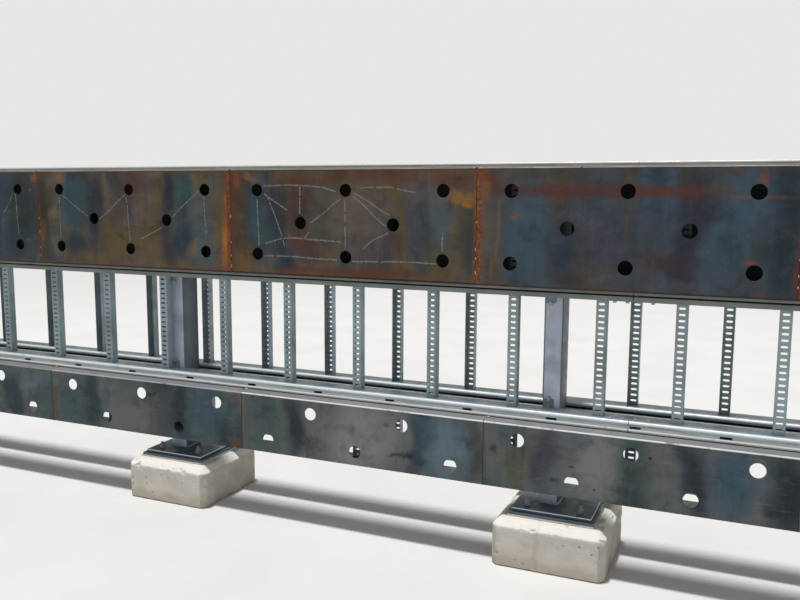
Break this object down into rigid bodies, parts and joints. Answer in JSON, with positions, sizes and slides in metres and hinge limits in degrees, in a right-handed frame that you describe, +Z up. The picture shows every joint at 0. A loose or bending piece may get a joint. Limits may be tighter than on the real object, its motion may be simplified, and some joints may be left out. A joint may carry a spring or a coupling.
{
  "type": "cable rack",
  "caption": "Ground-mounted cable rack: ladders on edge, back to back on steel posts and concrete plinths, with perforated cover plates.",
  "frame": {"origin": "on the ground, in the middle of the box round the whole rack", "axes": "+X along the rack, -Y out of the front with the lower covers, +Z up"},
  "size_m": [6.49, 0.49, 1.731],
  "materials": {
    "concrete": null,
    "galvanised_steel": "hot-dip galvanised, dull grey-green",
    "hot_rolled_steel": "dark mill scale with blue and brown tints and rust at the edges"
  },
  "bodies": {
    "root": {"plinth_1": "concrete", "plinth_2": "concrete", "plinth_3": "concrete", "plinth_4": "concrete", "levelling_plates": "galvanised_steel", "base_plate_1": "galvanised_steel", "base_plate_2": "galvanised_steel", "base_plate_3": "galvanised_steel", "base_plate_4": "galvanised_steel", "post_1": "galvanised_steel", "post_2": "galvanised_steel", "post_3": "galvanised_steel", "post_4": "galvanised_steel", "front_lower_top_rail": "galvanised_steel", "front_lower_bottom_rail": "galvanised_steel", "front_lower_rungs": "galvanised_steel", "front_middle_top_rail": "galvanised_steel", "front_middle_bottom_rail": "galvanised_steel", "front_middle_rungs": "galvanised_steel", "front_upper_top_rail": "galvanised_steel", "front_upper_bottom_rail": "galvanised_steel", "front_upper_rungs": "galvanised_steel", "rear_lower_top_rail": "galvanised_steel", "rear_lower_bottom_rail": "galvanised_steel", "rear_lower_rungs": "galvanised_steel", "rear_middle_top_rail": "galvanised_steel", "rear_middle_bottom_rail": "galvanised_steel", "rear_middle_rungs": "galvanised_steel", "rear_upper_top_rail": "galvanised_steel", "rear_upper_bottom_rail": "galvanised_steel", "rear_upper_rungs": "galvanised_steel", "splice_plates": "galvanised_steel", "front_cleats": "galvanised_steel", "rear_cleats": "galvanised_steel", "front_upper_cover_1": "hot_rolled_steel", "front_upper_cover_2": "hot_rolled_steel", "front_upper_cover_3": "hot_rolled_steel", "front_upper_cover_4": "hot_rolled_steel", "front_upper_cover_5": "hot_rolled_steel", "rear_upper_cover_1": "hot_rolled_steel", "rear_upper_cover_2": "hot_rolled_steel", "rear_upper_cover_3": "hot_rolled_steel", "rear_upper_cover_4": "hot_rolled_steel", "rear_upper_cover_5": "hot_rolled_steel", "lower_cover_1": "hot_rolled_steel", "lower_cover_2": "hot_rolled_steel", "lower_cover_3": "hot_rolled_steel", "lower_cover_4": "hot_rolled_steel", "lower_cover_5": "hot_rolled_steel"}
  },
  "joints": []
}
